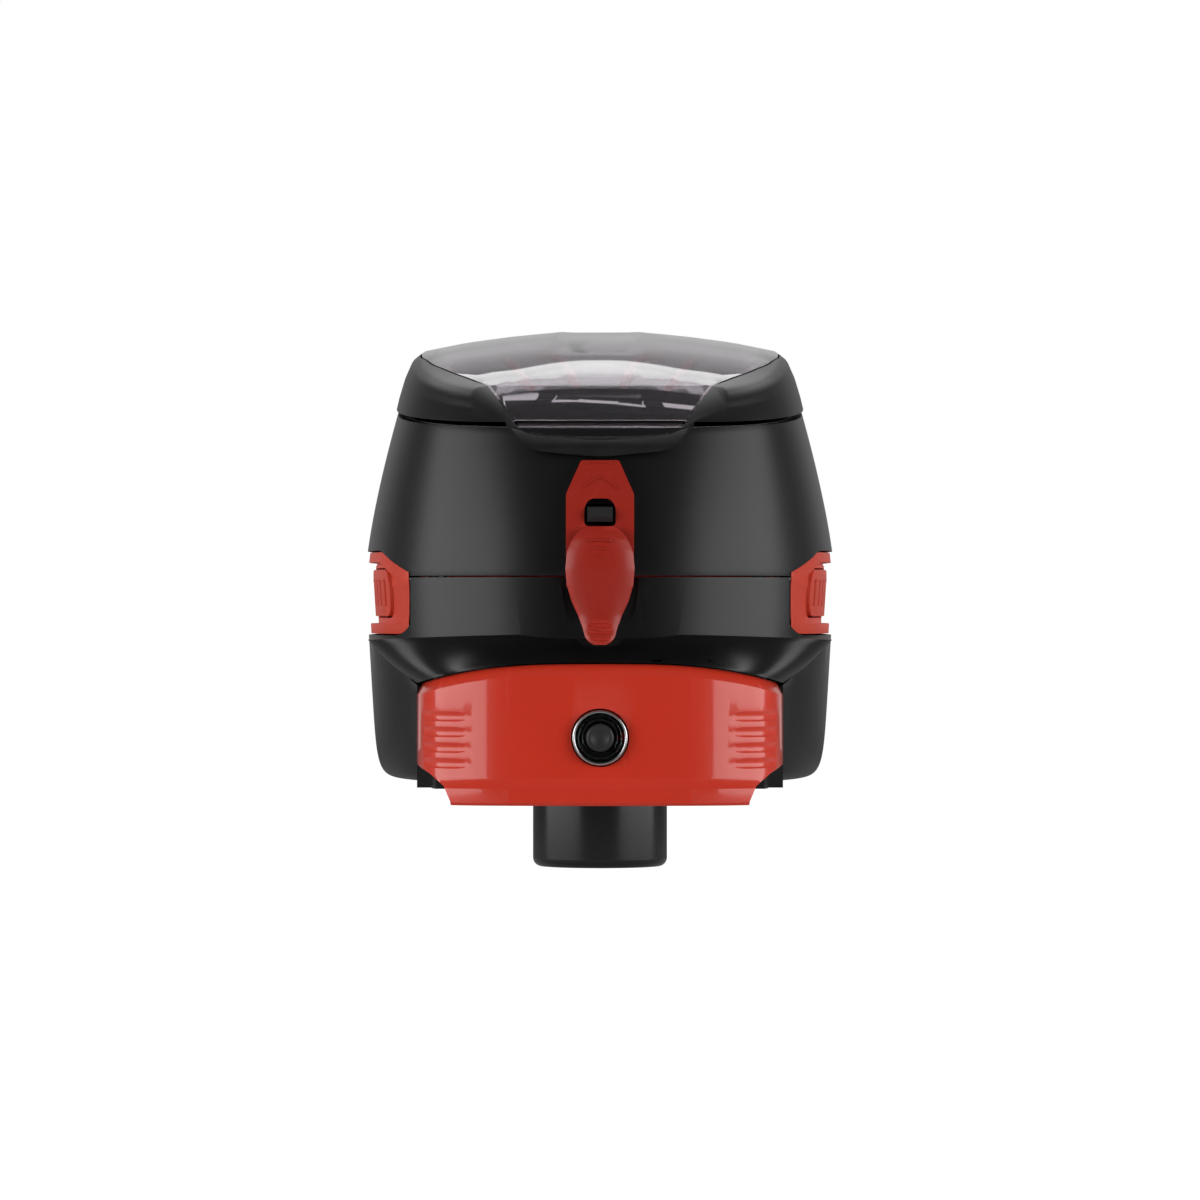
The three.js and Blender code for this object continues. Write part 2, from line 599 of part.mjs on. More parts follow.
function buildDrive() {
  const white = finish(colours.white, 0.5);
  const steel = finish(colours.steel, 0.3, 1);
  add("feed_neck", feedNeck(), finish(colours.neck, 0.3));
  add("raceway", raceway(), finish(colours.black, 0.5));
  add("rotor", rotor(), finish(colours.red, 0.4));
  add("rotor_shaft", rodZ(2.5, 0, rotorY, 29, 70, 20), steel);
  const bush = turned([[2.56, cupFloorZ - 3], [5.2, cupFloorZ - 3], [5.2, cupFloorZ], [2.56, cupFloorZ],
    [2.56, cupFloorZ - 3]], 0, rotorY, 24);
  add("shaft_bushing", bush, finish(colours.brass, 0.35, 1));
  const upward = Math.PI / 2;
  add("drive_gear", gear(driveTeeth, upward, gearThickness, 2.56).translate(0, rotorY, gearZ), white);
  const idler = gear(idlerTeeth, upward + Math.PI / idlerTeeth, gearThickness, 1.56);
  add("idler_gear", idler.translate(0, idlerY, gearZ), white);
  add("motor_pinion", gear(pinionTeeth, -upward, gearThickness, 1.06).translate(0, motorY, gearZ),
    finish(colours.brass, 0.35, 1));
  add("idler_pin", rodZ(1.5, 0, idlerY, gearPlateZ + 0.1, gearZ + 6, 16), steel);
  add("gear_plate", gearPlate(), finish(colours.dark, 0.5));
  add("motor", rodZ(9, 0, motorY, 21, gearPlateZ - gearPlateThickness - 0.1, 28), steel);
  add("motor_shaft", rodZ(1, 0, motorY, gearPlateZ - 2, gearZ + 5.4, 16), steel);
  for (const side of [-1, 1]) {
    const name = side > 0 ? "right" : "left";
    const sensor = rodX(1.5, side > 0 ? 10.3 : -15.6, side > 0 ? 15.6 : -10.3, -3, 29, 16);
    add(side > 0 ? "eye_receiver" : "eye_emitter", sensor, finish(colours.dark, 0.2));
    trayScrews.forEach(([x, y], i) => {
      add(`raceway_screw_${i ? "front" : "rear"}_${name}`, panScrew(side * x, y, trayTopZ + 0.1), steel);
    });
  }
}

function buildPower() {
  const cell = finish(colours.copper, 0.35, 0.4);
  const nickel = finish(colours.steel, 0.3, 1);
  const traySkin = box(-28.3, 28.3, -65.4, -20.6, 19, 27).subtract(box(-27.7, 27.7, -64.8, -21.2, 19.5, 40));
  add("battery_tray", traySkin.intersect(tailSkin(coverWall + gap + 2.3, 17)), finish(colours.dark, 0.5));
  cellsY.forEach((y, i) => {
    const body = rodX(cellRadius, -cellLength / 2, cellLength / 2 - 1.2, y, cellZ, 24);
    add(`battery_${i + 1}`, body.add(rodX(2.6, 20, cellLength / 2, y, cellZ, 16)), cell);
  });
  add("contact_left", box(-27.4, -cellLength / 2 - 0.2, -64, -22, 20.2, 33), nickel);
  add("contact_right", box(cellLength / 2 + 0.2, 27.4, -64, -22, 20.2, 33), nickel);
  add("control_board", box(-15, 15, boardY, boardY + 1.6, 19.6, 33), finish(colours.green, 0.5));
  const tactSwitch = box(-2.9, 2.9, boardY - 1.6, boardY - 0.1, buttonZ - 2.9, buttonZ + 2.9);
  add("tact_switch", tactSwitch, finish(colours.dark));
  add("status_led", rodY(1, 4.2, boardY - 1.5, boardY - 0.1, buttonZ, 12), finish(0xc8322a, 0.2));
  const bezel = rodY(4.9, 0, -76.1, -71.2, buttonZ, 40).subtract(rodY(4.4, 0, -80, -70, buttonZ, 40));
  add("power_bezel", bezel, finish(colours.steel, 0.2, 1));
  const lens = rodY(4.1, 0, -75.6, -72.2, buttonZ, 40).subtract(rodY(2.8, 0, -80, -70, buttonZ, 32));
  add("power_lens", lens, finish(colours.smoke, 0.08));
  add("power_button", rodY(2.5, 0, -76.2, -71.4, buttonZ, 28), finish(0x2e2e30, 0.4));
}

buildCasing();
buildLatch();
buildDrive();
buildPower();

export default loader;
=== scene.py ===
# Paintball loader: fine shells, lid, latch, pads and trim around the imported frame, in metres.
import bpy
import bmesh
import json
from math import cos, pi, radians, sin
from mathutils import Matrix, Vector


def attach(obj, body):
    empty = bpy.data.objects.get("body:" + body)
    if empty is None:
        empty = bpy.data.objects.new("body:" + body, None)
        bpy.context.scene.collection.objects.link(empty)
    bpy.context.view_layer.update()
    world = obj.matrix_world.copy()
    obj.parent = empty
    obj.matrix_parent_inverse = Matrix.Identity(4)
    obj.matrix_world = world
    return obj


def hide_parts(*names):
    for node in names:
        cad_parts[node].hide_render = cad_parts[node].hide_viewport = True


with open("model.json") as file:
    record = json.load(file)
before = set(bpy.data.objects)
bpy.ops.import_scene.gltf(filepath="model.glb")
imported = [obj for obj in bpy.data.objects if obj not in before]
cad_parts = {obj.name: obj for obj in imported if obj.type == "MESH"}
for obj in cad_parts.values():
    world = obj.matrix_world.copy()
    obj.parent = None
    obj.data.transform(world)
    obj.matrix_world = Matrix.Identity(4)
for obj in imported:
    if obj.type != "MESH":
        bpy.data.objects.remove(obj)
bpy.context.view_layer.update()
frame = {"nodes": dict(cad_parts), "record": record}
mm = 0.001
print("frame loaded")

# Sizes in millimetres, the same as the frame's own
hopper = {"around": 176, "seamZ": 54.8, "wall": 2.2, "gap": 0.3, "taper": 0.05}
body = {"halfWidth": 44.2, "rear": -65.5, "nose": 125, "midY": 0, "rearPower": 2.7,
        "nosePower": 2.35}
rim = {"halfWidth": 37.9, "rear": -60.3, "nose": 54, "midY": -3, "rearPower": 3.2,
       "nosePower": 2.8, "z": 86.5, "tilt": 0.085}
belly = {"halfWidth": 27, "rear": -46, "nose": 62, "midY": 0, "rearPower": 3, "nosePower": 2.2,
         "z": 17.2}
tail = {"halfWidth": 33.2, "rear": -75, "nose": -10, "midY": -48, "rearPower": 3.4, "nosePower": 8,
        "topZ": 39.3, "browZ": 44.3, "browDrop": 0.8, "browReach": 9, "floorZ": 16.4, "edgeDrop": 4.6,
        "coverWall": 2.3, "coverFrontY": -53, "coverBottomZ": 13.8, "flare": 0.9,
        "coveRows": 10, "coveSink": (0, 0.9, -0.7)}
lid = {"halfWidth": 38.1, "rear": -61.8, "nose": 55.4, "midY": -3, "rearPower": 3.2, "nosePower": 2.8,
       "base": 87.5, "fall": 0.0015, "rings": 30, "ease": 8, "facet": [-63.5, 77.6, -11.3, 128.6],
       "rows": [[0, 0], [2.2, 0.5], [5.6, 1.5], [8.3, 2.7], [9.8, 4.6], [11.4, 12.5], [12.6, 21.5],
                [13.4, 30]]}
hinge = {"y": 60.5, "z": 94, "holeRadius": 1.56}
latch = {"pinY": -67.7, "pinZ": 60.1, "holeRadius": 0.96}
button = {"z": 25.9}
neck = {"radius": 12.7, "bore": 9.6, "top": 43.9}


# Mesh helpers
def newObject(name, verts, faces):
    mesh = bpy.data.meshes.new(name)
    mesh.from_pydata([Vector(v) * mm for v in verts], [], faces)
    bm = bmesh.new()
    bm.from_mesh(mesh)
    bmesh.ops.remove_doubles(bm, verts=bm.verts, dist=1e-6)
    bmesh.ops.recalc_face_normals(bm, faces=bm.faces)
    bm.to_mesh(mesh)
    bm.free()
    obj = bpy.data.objects.new(name, mesh)
    bpy.context.scene.collection.objects.link(obj)
    return obj


def loft(name, rings, closed=False):
    count = len(rings[0])
    verts = [tuple(p) for ring in rings for p in ring]
    rows = len(rings)
    faces = []
    for row in range(rows if closed else rows - 1):
        low, high = row * count, ((row + 1) % rows) * count
        for i in range(count):
            j = (i + 1) % count
            faces.append((low + i, low + j, high + j, high + i))
    if not closed:
        faces.append(tuple(reversed(range(count))))
        faces.append(tuple(range((rows - 1) * count, rows * count)))
    return newObject(name, verts, faces)


def prism(name, axis, points, low, high):
    slot = "xyz".index(axis)
    rings = []
    for level in (low, high):
        rings.append([(*point[:slot], level, *point[slot:]) for point in points])
    return loft(name, rings)


def box(name, x0, x1, y0, y1, z0, z1):
    return prism(name, "z", [(x0, y0), (x1, y0), (x1, y1), (x0, y1)], z0, z1)


def circle(radius, a=0, b=0, steps=64):
    turns = [2 * pi * i / steps for i in range(steps)]
    return [(a + radius * cos(turn), b + radius * sin(turn)) for turn in turns]


def rounded(points, radius, steps=6):
    # corner points of an outline, each replaced by a short curve
    out = []
    count = len(points)
    for i, corner in enumerate(points):
        here = Vector(corner)
        before, after = Vector(points[i - 1]), Vector(points[(i + 1) % count])
        reach = min(radius, 0.48 * (before - here).length, 0.48 * (after - here).length)
        start = here + (before - here).normalized() * reach
        end = here + (after - here).normalized() * reach
        for step in range(steps + 1):
            t = step / steps
            out.append(tuple(start * (1 - t) ** 2 + here * 2 * t * (1 - t) + end * t * t))
    return out


def apply(obj):
    deps = bpy.context.evaluated_depsgraph_get()
    mesh = bpy.data.meshes.new_from_object(obj.evaluated_get(deps))
    obj.modifiers.clear()
    obj.data = mesh
    return obj


def join(obj, other, kind):
    modifier = obj.modifiers.new(kind, "BOOLEAN")
    modifier.operation = kind
    modifier.solver = "EXACT"
    modifier.object = other
    apply(obj)
    bpy.data.objects.remove(other)
    return obj


def cut(obj, *others):
    for other in others:
        join(obj, other, "DIFFERENCE")
    return obj


def add(obj, *others):
    for other in others:
        join(obj, other, "UNION")
    return obj


def common(obj, other):
    return join(obj, other, "INTERSECT")


def soften(obj, width, segments=3, angle=32, smooth=28):
    # a real rounded edge on every crease, then smooth shading
    bm = bmesh.new()
    bm.from_mesh(obj.data)
    bmesh.ops.remove_doubles(bm, verts=bm.verts, dist=2e-6)
    bmesh.ops.dissolve_degenerate(bm, dist=1e-6, edges=bm.edges)
    bm.to_mesh(obj.data)
    bm.free()
    if width:
        bevel = obj.modifiers.new("edges", "BEVEL")
        bevel.width = width * mm
        bevel.segments = segments
        bevel.limit_method = "ANGLE"
        bevel.angle_limit = radians(angle)
        bevel.use_clamp_overlap = True
        bevel.miter_outer = "MITER_ARC"
        apply(obj)
    obj.data.shade_smooth()
    obj.data.set_sharp_from_angle(angle=radians(smooth))
    return obj


# Plan outlines: two half superellipses that meet at the widest section
def planPoint(plan, angle, inset=0):
    c, s = cos(angle), sin(angle)
    power = 2 / (plan["rearPower"] if s < 0 else plan["nosePower"])
    reach = plan["midY"] - plan["rear"] if s < 0 else plan["nose"] - plan["midY"]
    x = (1 if c >= 0 else -1) * (plan["halfWidth"] - inset) * abs(c) ** power
    y = plan["midY"] + (1 if s >= 0 else -1) * (reach - inset) * abs(s) ** power
    return x, y


def angles():
    return [2 * pi * i / hopper["around"] for i in range(hopper["around"])]


def planRing(plan, inset, height):
    points = [planPoint(plan, angle, inset) for angle in angles()]
    return [(x, y, height(x, y)) for x, y in points]


def lifted(ring, dz):
    return [(x, y, z + dz) for x, y, z in ring]


def upperRing(t, inset):
    ring = []
    for angle in angles():
        low, high = planPoint(body, angle, inset), planPoint(rim, angle, inset)
        nose = max(sin(angle), 0) ** 1.5
        out = (1 - nose) * (1 - t ** 1.4) + nose * cos(t * pi / 2)
        rise = (1 - nose) * t + nose * sin(t * pi / 2)
        top = rim["z"] + rim["tilt"] * high[1] - nose * inset * 0.9
        ring.append((high[0] + (low[0] - high[0]) * out, high[1] + (low[1] - high[1]) * out,
                     hopper["seamZ"] + (top - hopper["seamZ"]) * rise))
    return ring


def lowerRing(t, inset):
    ring = []
    turn = t * pi / 2
    for angle in angles():
        high, low = planPoint(body, angle, inset), planPoint(belly, angle, inset)
        nose = max(sin(angle), 0) ** 1.5
        power = 2 / (12 - 10 * nose)
        out, fall = max(cos(turn), 0) ** power, sin(turn) ** power
        squeeze = 1 - hopper["taper"] * fall * (1 - nose)
        ring.append((low[0] + (high[0] * squeeze - low[0]) * out, low[1] + (high[1] * squeeze - low[1]) * out,
                     hopper["seamZ"] - (hopper["seamZ"] - belly["z"] - inset) * fall))
    return ring


def upperSkin(inset, below=0, above=0, rows=22):
    rings = [upperRing(row / rows, inset) for row in range(rows + 1)]
    if below:
        rings.insert(0, lifted(rings[0], -below))
    if above:
        rings.append(lifted(rings[-1], above))
    return loft("skin", rings)


def lowerSkin(inset, above=0):
    # closer rows near the belly corner, where the wall turns under
    steps = [1, 0.992, 0.98, 0.96, 0.93, 0.9, 0.86, 0.82, 0.78, 0.74, 0.7, 0.66, 0.62, 0.58,
             0.54, 0.5, 0.46, 0.42, 0.38, 0.34, 0.3, 0.26, 0.22, 0.18, 0.14, 0.1, 0.07, 0.04,
             0.02, 0.008, 0]
    rings = [lowerRing(t, inset) for t in steps]
    if above:
        rings.append(lifted(rings[-1], above))
    return loft("skin", rings)


def tailEdge(x):
    return tail["topZ"] - tail["edgeDrop"] * abs(x / 35) ** 3


def tailSkin(inset, bottomZ):
    brow = dict(tail, halfWidth=tail["halfWidth"] + tail["browReach"], rear=body["rear"] + 2)
    mid = planRing(tail, inset, lambda x, y: tailEdge(x) - inset)
    high = planRing(brow, inset, lambda x, y: tail["browZ"] - inset - tail["browDrop"] * (x / 36) ** 2)
    rings = [planRing(tail, inset, lambda x, y: bottomZ), mid]
    for row in range(1, tail["coveRows"]):
        t = row / tail["coveRows"]
        sink = Vector(tail["coveSink"]) * (4 * t * (1 - t))
        rings.append([tuple(Vector(a).lerp(Vector(b), t) + sink) for a, b in zip(mid, high)])
    return loft("tail", rings + [high])


def tailPost(inset, low, high):
    return loft("post", [planRing(tail, inset, lambda x, y, z=z: z) for z in (low, high)])


def tailTop(lift):
    # everything under the arched edge of the tail
    reach, steps = 40, 40
    across = [reach - 2 * reach * i / steps for i in range(steps + 1)]
    arch = [(x, tailEdge(x) + lift) for x in across]
    return prism("arch", "y", [(-reach, 0), (reach, 0)] + arch, -95, -40)


def coverSpace(frontY):
    return common(box("space", -60, 60, -90, frontY, 5, tail["topZ"] + 6), tailTop(0))


# Side grips and pads, drawn in side view as (y, z)
grip = {"outline": [(-45, 44.2), (-49.5, 46.5), (-51.5, 54.6), (-36, 59.2), (42, 59.2), (49, 51.6),
                    (42, 44.2)],
        "midY": -19, "midZ": 51.6, "proud": 0.5, "depth": 2.0, "border": 1.8, "inner": 34.8,
        "pad": [(-36, 47.4), (-13, 47.4), (-11.6, 51.6), (-13, 56.0), (-36, 56.0), (-37.4, 51.6)],
        "padMidY": -24.5, "padProud": 1.5, "padInner": 30, "padRadius": 2.4,
        "ribs": 5, "ribY": -33.5, "ribPitch": 4.5, "ribLow": 49.2, "ribHigh": 54.2, "ribHalf": 0.7,
        "ribDepth": 2.2}


def grown(points, by, y, z):
    return [(a + (by if a > y else -by), b + (by if b > z else -by)) for a, b in points]


def sidePrism(side, points, inner):
    low, high = (inner, 50) if side > 0 else (-50, -inner)
    return prism("side", "x", points, low, high)


def gripHole(side):
    outline = grown(grip["outline"], hopper["gap"], grip["midY"], grip["midZ"])
    return sidePrism(side, rounded(outline, 2.4), grip["inner"] - hopper["gap"])


def bandSkin(inset, reach):
    return add(upperSkin(inset, reach, 8, 12), lowerSkin(inset, reach))


def gripPlate(side):
    # a raised border round a scooped face, with a window for the pad
    region = sidePrism(side, rounded(grip["outline"], 2.2), grip["inner"])
    plate = common(cut(bandSkin(grip["proud"], 1), bandSkin(3.6, 2)), region)
    face = grown(grip["outline"], -grip["border"], grip["midY"], grip["midZ"])
    scoop = sidePrism(side, rounded(face, 2), grip["inner"])
    plate = cut(plate, cut(scoop, bandSkin(grip["depth"], 2)))
    window = rounded(grown(grip["pad"], hopper["gap"], grip["padMidY"], grip["midZ"]), grip["padRadius"])
    return soften(cut(plate, sidePrism(side, window, grip["padInner"])), 0.45)


def padButton(side):
    region = sidePrism(side, rounded(grip["pad"], grip["padRadius"]), grip["padInner"])
    pad = common(cut(bandSkin(grip["padProud"], 1), bandSkin(3.8, 2)), region)
    # finger slots across the pad
    for i in range(grip["ribs"]):
        y = grip["ribY"] + i * grip["ribPitch"]
        near, far = y - grip["ribHalf"], y + grip["ribHalf"]
        low, high = grip["ribLow"], grip["ribHigh"]
        slot = rounded([(near, low), (far, low), (far, high), (near, high)], 0.6)
        pad = cut(pad, cut(sidePrism(side, slot, grip["padInner"]), bandSkin(grip["ribDepth"], 2)))
    return soften(pad, 0.35)


# Shells
def upperShell():
    shell = cut(upperSkin(0), upperSkin(hopper["wall"], 2, 8))
    ear = rounded([(53, 88.5), (62, 87.5), (63, 92.5), (60.5, 96.6), (57.6, 93.5)], 2.2)
    ears = prism("ears", "x", ear, -12.7, 12.7)
    shell = add(shell, cut(ears, upperSkin(hopper["wall"], 2, 8)))
    pin = prism("hole", "x", circle(hinge["holeRadius"], hinge["y"], hinge["z"], 32), -14, 14)
    catch = box("slot", -2.6, 2.6, -70, -55, 64.1, 67.7)
    knuckle = box("slot", -9.3, 9.3, 51, 66, 90.4, 99)
    return soften(cut(shell, knuckle, pin, catch, gripHole(-1), gripHole(1)), 0.4)


def pocket():
    # recess behind the latch lever
    outline = [(-7.4, 58), (-6.6, 50), (-4.9, 44.8), (-3.4, 42), (3.4, 42), (4.9, 44.8), (6.6, 50),
               (7.4, 58)]
    return prism("pocket", "y", rounded(outline, 2), -80, -64.7)


def lowerShell():
    inside = add(lowerSkin(hopper["wall"], 2), tailSkin(tail["coverWall"] + 2.3, tail["floorZ"] + 2))
    shelf = common(tailPost(tail["coverWall"] + hopper["gap"], tail["floorZ"], 42), tailSkin(0, 5))
    shelf = cut(shelf, box("trim", -60, 60, -90, -60.5, 10, 33.4))
    shoulder = cut(tailSkin(0, tail["floorZ"]), coverSpace(tail["coverFrontY"]))
    room = common(tailSkin(-hopper["gap"], 5), coverSpace(tail["coverFrontY"]))
    shell = cut(add(cut(lowerSkin(0), room), shelf, shoulder), inside)
    hole = prism("hole", "z", circle(neck["radius"] + 0.3), 0, 40)
    mouth = box("mouth", -29, 29, -90, -50, tail["floorZ"] + 2.5, 33)
    shell = cut(shell, hole, mouth, pocket(), box("trim", -100, 100, -100, 150, 54.5, 90))
    return soften(cut(shell, gripHole(-1), gripHole(1)), 0.4)


# Red tail cover: a capped wrap with a bevel band, finger flutes at its corners and a round button seat
cover = {"flutes": [21.2, 24.0, 26.8, 29.6], "fluteRadius": 1.7, "fluteDepth": 0.3,
         "seat": 5.2, "bandDrop": 2.2,
         "corner": [(25.9, 5), (26.7, 14.4), (27.9, 17.2), (30.6, 19.4), (34.2, 21.4), (40, 21.6),
                    (40, 5)]}


def coverSkin():
    # flared lip at the bottom, straight wall, then a sloped band up to the arched top edge
    low = tail["coverBottomZ"]
    levels = [(-tail["flare"] + 0.3, lambda x, y: low),
              (-tail["flare"], lambda x, y: low + 0.5),
              (-tail["flare"], lambda x, y: low + 3.0),
              (-0.3, lambda x, y: low + 4.1),
              (0, lambda x, y: low + 5.2),
              (0, lambda x, y: tailEdge(x) - cover["bandDrop"]),
              (1.15, lambda x, y: tailEdge(x) - hopper["gap"]),
              (2.9, lambda x, y: tailEdge(x) - hopper["gap"])]
    return loft("cover", [planRing(tail, inset, height) for inset, height in levels])


def tailCover():
    wall = coverSkin()
    # lower corners rise towards the sides
    for side in (-1, 1):
        corner = [(side * x, z) for x, z in cover["corner"]]
        wall = cut(wall, prism("corner", "y", corner, -94.1, -41.2))
    wall = common(wall, box("space", -60, 60, -90, tail["coverFrontY"] - hopper["gap"], 5, 60))
    wall = cut(wall, tailPost(tail["coverWall"], tail["coverBottomZ"] - 2, 60))
    wall = cut(wall, prism("seat", "y", circle(cover["seat"], 0, button["z"]), -90, -60))
    for z in cover["flutes"]:
        for side in (-1, 1):
            wall = cut(wall, flute(side, z))
    return soften(wall, 0.55)


def flute(side, z):
    # a shallow groove that follows the cover's rounded corner
    rings = []
    steps = 22
    for step in range(steps + 1):
        angle = 1.5 * pi + side * (0.55 + 0.62 * step / steps)
        x, y = planPoint(tail, angle)
        ahead = Vector(planPoint(tail, angle + side * 0.01)) - Vector((x, y))
        out = Vector((ahead.y, -ahead.x)).normalized() * side
        fade = min(1, step / 5, (steps - step) / 3 + 0.3)
        radius = cover["fluteRadius"]
        depth = cover["fluteDepth"] * fade
        ring = []
        for i in range(16):
            turn = 2 * pi * i / 16
            off = radius * cos(turn) + radius - depth
            ring.append((x + out.x * off, y + out.y * off, z + radius * sin(turn)))
        rings.append(ring)
    return loft("flute", rings)


# Lid
lens = {"half": [(0, 43), (14, 42.6), (24, 40), (30, 34), (33, 22), (34.2, 4), (33.6, -14),
                 (31.2, -29), (27.4, -40), (22.8, -48.4), (19, -53.4), (16.6, -57), (14.4, -60.1),
                 (12, -61)],
        "rear": -62.1}


def curveThrough(knots, value):
    # straight stretches between neighbouring knots
    for (a, b), (c, d) in zip(knots, knots[1:]):
        if value <= c:
            t = (value - a) / (c - a)
            return b + (d - b) * t
    return knots[-1][1]


def lidSkin(inset, drop, below=0):
    rings = []
    last = lid["rows"][-1][0]
    for row in range(lid["rings"] + 1):
        rise = last * (row / lid["rings"])
        shrink = curveThrough(lid["rows"], rise)
        lift = min(rise / lid["ease"], 1)

        def height(x, y):
            return lid["base"] + rim["tilt"] * y + rise - drop * lift - lid["fall"] * y * y * lift
        rings.append(planRing(lid, inset + shrink, height))
    if below:
        rings.insert(0, lifted(rings[0], -below))
    return loft("lid", rings)


def facetSide(depth):
    # everything in front of the sloped rear facet, moved in by a depth
    y = depth * 1.41
    rear, low, front, high = lid["facet"]
    outline = [(rear + y, low), (rear + y, 60), (80, 60), (80, high), (front + y, high)]
    return prism("facet", "x", outline, -60, 60)


def lensPrism(shrink):
    half = [(max(x - shrink, 0), y - (shrink if y > 0 else -shrink)) for x, y in lens["half"]]
    mirrored = [(-x, y) for x, y in reversed(half[1:])]
    return prism("lens", "z", rounded(half + [(0, lens["rear"] + shrink)] + mirrored, 3.5, 5), 70, 130)


def lidOuter():
    spout = [(-17.2, 85.2), (-17.2, 82.4), (-15.4, 79.2), (-12, 77.2), (0, 76.1), (12, 77.2),
             (15.4, 79.2), (17.2, 82.4), (17.2, 85.2)]
    dome = add(lidSkin(0, 0), prism("spout", "y", rounded(spout, 2.5), -66, -56))
    return common(dome, facetSide(0))


def lidFrame():
    skin = lidOuter()
    hollow = common(lidSkin(2.4, 2.2, 3), facetSide(2.2))
    shape = cut(skin, hollow, lensPrism(0), upperSkin(-0.4))
    knuckle = rounded([(54, 91.8), (60.5, 91.1), (63.1, 94), (60.5, 96.9), (52, 97.6), (51, 93.6)], 1.5)
    arm = cut(prism("knuckle", "x", knuckle, -9, 9), box("slot", -4.2, 4.2, 56, 70, 80, 100))
    pin = prism("hole", "x", circle(hinge["holeRadius"], hinge["y"], hinge["z"], 32), -20, 20)
    return soften(cut(add(shape, arm), pin), 0.4)


def lidWindow():
    inner = common(add(lidSkin(2.1, 2, 3), box("lip", -16, 16, -66, -56, 60, 86)), facetSide(2))
    pane = common(cut(lidOuter(), inner), lensPrism(hopper["gap"]))
    pane = cut(pane, upperSkin(-0.4), box("trim", -60, 60, -70, 60, 60, 79.4))
    return soften(pane, 0.35, 3, 26, 24)


arcs = {"runs": [((-28.5, -22), (-25, -36), (-20.5, -44)),
                 ((-18.5, -8), (-16.5, -28), (-12.5, -42)),
                 ((-12, 6), (-8, -20), (-4.2, -40))],
        "steps": 24, "under": 3.4, "radius": 0.7, "sides": 8}


def windowRibs():
    # slim red arcs moulded under the window, three on each side
    ribs = []
    for side, word in ((1, "_left"), (-1, "_right")):
        for i, (a, b, c) in enumerate(arcs["runs"]):
            rings = []
            for step in range(arcs["steps"] + 1):
                t = step / arcs["steps"]
                x = a[0] * (1 - t) ** 2 + 2 * b[0] * t * (1 - t) + c[0] * t * t
                y = a[1] * (1 - t) ** 2 + 2 * b[1] * t * (1 - t) + c[1] * t * t
                section = circle(arcs["radius"], side * x, windowHeight(x, y) - arcs["under"], arcs["sides"])
                rings.append([(across, y, up) for across, up in section])
            ribs.append(soften(loft("window_rib_" + str(i + 1) + word, rings), 0))
    return ribs


def windowHeight(x, y):
    # height of the lid's outer face over a point of its plan
    reach = lid["nose"] - lid["midY"] if y > lid["midY"] else lid["midY"] - lid["rear"]
    power = lid["rearPower"]
    size = ((abs(x) / lid["halfWidth"]) ** power + (abs(y - lid["midY"]) / reach) ** power) ** (1 / power)
    shrink = lid["halfWidth"] * (1 - size)
    rises = [(b, a) for a, b in lid["rows"]]
    rise = curveThrough(rises, min(max(shrink, 0), rises[-1][0]))
    lift = min(rise / lid["ease"], 1)
    return lid["base"] + rim["tilt"] * y + rise - lid["fall"] * y * y * lift


# Draw latch
marks = {"sunk": 0.15, "proud": 0.22, "bow": 0.25, "edge": 0.08}


def latchStrap():
    outline = [(-6.1, 62.8), (-6.1, 69.4), (-3.4, 75.5), (3.4, 75.5), (6.1, 69.4), (6.1, 62.8),
               (6, 52.6), (4.1, 52.6), (4.1, 61.8), (-4.1, 61.8), (-4.1, 52.6), (-6, 52.6)]
    profile = [(-66.6, 52), (-69, 52), (-69, 60), (-66.6, 66), (-63.6, 77), (-61.8, 77),
               (-64.7, 65.4), (-66.4, 62)]
    side = prism("side", "x", rounded(profile, 0.9), -7, 7)
    strap = common(prism("strap", "y", rounded(outline, 0.4, 4), -80, -50), side)
    window = [(-2.8, 63.6), (2.8, 63.6), (2.8, 67.2), (1.8, 68.6), (-1.8, 68.6), (-2.8, 67.2)]
    hole = prism("hole", "x", circle(latch["holeRadius"], latch["pinY"], latch["pinZ"], 32), -8, 8)
    return soften(cut(strap, prism("window", "y", rounded(window, 0.9), -80, -50), hole), 0.35)


def latchMarks():
    # plain raised ribs on the strap's upper face, lying on its slope
    def onFace(x, z, lift):
        return (x, -66.6 + (z - 66) * 3 / 11 - lift, z)

    def section(x, z, wide, narrow):
        foot = [onFace(x, z - wide, -marks["sunk"]), onFace(x, z + wide, -marks["sunk"])]
        return foot + [onFace(x, z + narrow, marks["proud"]), onFace(x, z - narrow, marks["proud"])]
    half = [(0, 72.5), (1.5, 71.8), (3.0, 70.5)]
    path = [(-x, z) for x, z in reversed(half[1:])] + half
    chevron = loft("latch_chevron", [section(x, z, 0.35, 0.2) for x, z in path])
    reach, steps = 2.2, 8
    bar = []
    for i in range(steps + 1):
        x = -reach + 2 * reach * i / steps
        bar.append(section(x, 75.0 + marks["bow"] * (1 - (x / reach) ** 2), 0.3, 0.18))
    arch = loft("latch_bar", bar)
    return [soften(chevron, marks["edge"], 2), soften(arch, marks["edge"], 2)]


